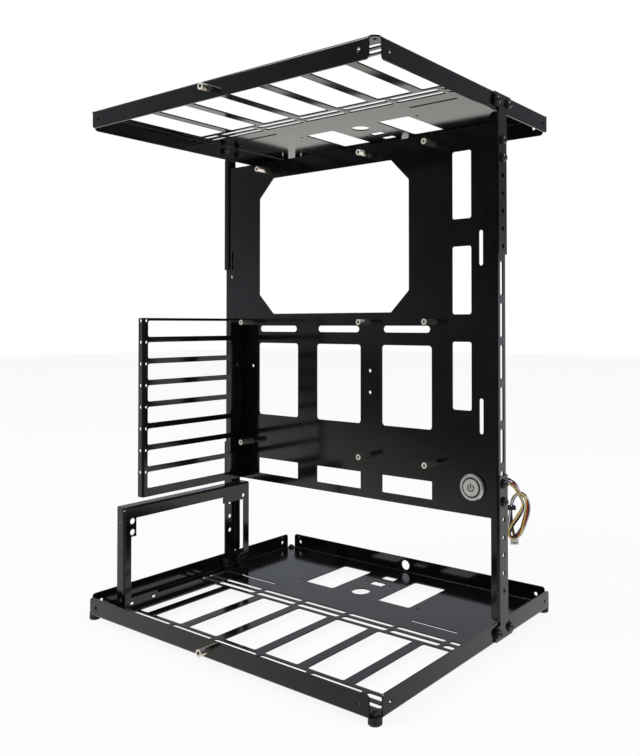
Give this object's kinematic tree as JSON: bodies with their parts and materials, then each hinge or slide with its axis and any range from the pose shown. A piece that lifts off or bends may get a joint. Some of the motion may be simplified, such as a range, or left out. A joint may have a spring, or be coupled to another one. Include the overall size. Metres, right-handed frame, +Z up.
{
  "type": "open air test bench",
  "caption": "Open frame for testing computer parts: two slotted trays, an upright board panel with stand-offs, a card slot frame, a power supply bracket and a power button.",
  "frame": {"origin": "middle of the footprint, on the table", "axes": "+X to the right, +Y to the back, +Z up"},
  "size_m": [0.3418, 0.285, 0.4652],
  "materials": {
    "black_coat": "black semi-gloss powder coat on folded steel sheet",
    "nickel": "bright nickel plate",
    "black_screw": "black oxide steel",
    "foot_rubber": "black rubber",
    "button_steel": "turned stainless steel",
    "light_ring": "clear milky plastic",
    "black_plastic": "black moulded plastic",
    "wire": "coloured wire insulation, mostly yellow",
    "white_plastic": "white moulded plastic"
  },
  "bodies": {
    "frame": {"bottom_tray": "black_coat", "top_tray": "black_coat", "motherboard_panel": "black_coat", "lower_left_bracket": "black_coat", "lower_right_bracket": "black_coat", "upper_left_bracket": "black_coat", "upper_right_bracket": "black_coat", "slot_frame": "black_coat", "psu_bracket": "black_coat", "standoff_1": "nickel", "standoff_2": "nickel", "standoff_3": "nickel", "standoff_4": "nickel", "standoff_5": "nickel", "standoff_6": "nickel", "standoff_7": "nickel", "standoff_8": "nickel", "standoff_9": "nickel", "lower_front_pillar": "nickel", "upper_front_pillar": "nickel", "foot_screws": "black_screw", "foot_nuts": "black_screw", "bracket_tray_screws": "black_screw", "bracket_tray_washers": "black_screw", "bracket_tray_nuts": "black_screw", "bracket_panel_screws": "black_screw", "bracket_panel_washers": "black_screw", "bracket_panel_nuts": "black_screw", "standoff_screws": "black_screw", "pillar_screws": "black_screw", "slot_frame_screws": "black_screw", "slot_frame_nuts": "black_screw", "psu_bracket_screws": "black_screw", "psu_bracket_washers": "black_screw", "psu_bracket_nuts": "black_screw", "left_front_foot": "foot_rubber", "left_rear_foot": "foot_rubber", "right_front_foot": "foot_rubber", "right_rear_foot": "foot_rubber", "button_housing": "button_steel", "button_nut": "button_steel", "button_light_ring": "light_ring", "button_switch": "black_plastic", "button_seal": "foot_rubber", "button_plug": "black_plastic", "button_lead": "wire", "wire_hank": "wire", "hank_tie": "black_plastic", "lead_connector": "white_plastic"},
    "button": {"button_cap": "button_steel"}
  },
  "joints": [
    {"name": "button_press", "type": "slide", "parent": "frame", "child": "button", "axis": [0, 1, 0], "range_m": [0, 0.0023], "stiffness_N_per_m": 900}
  ]
}
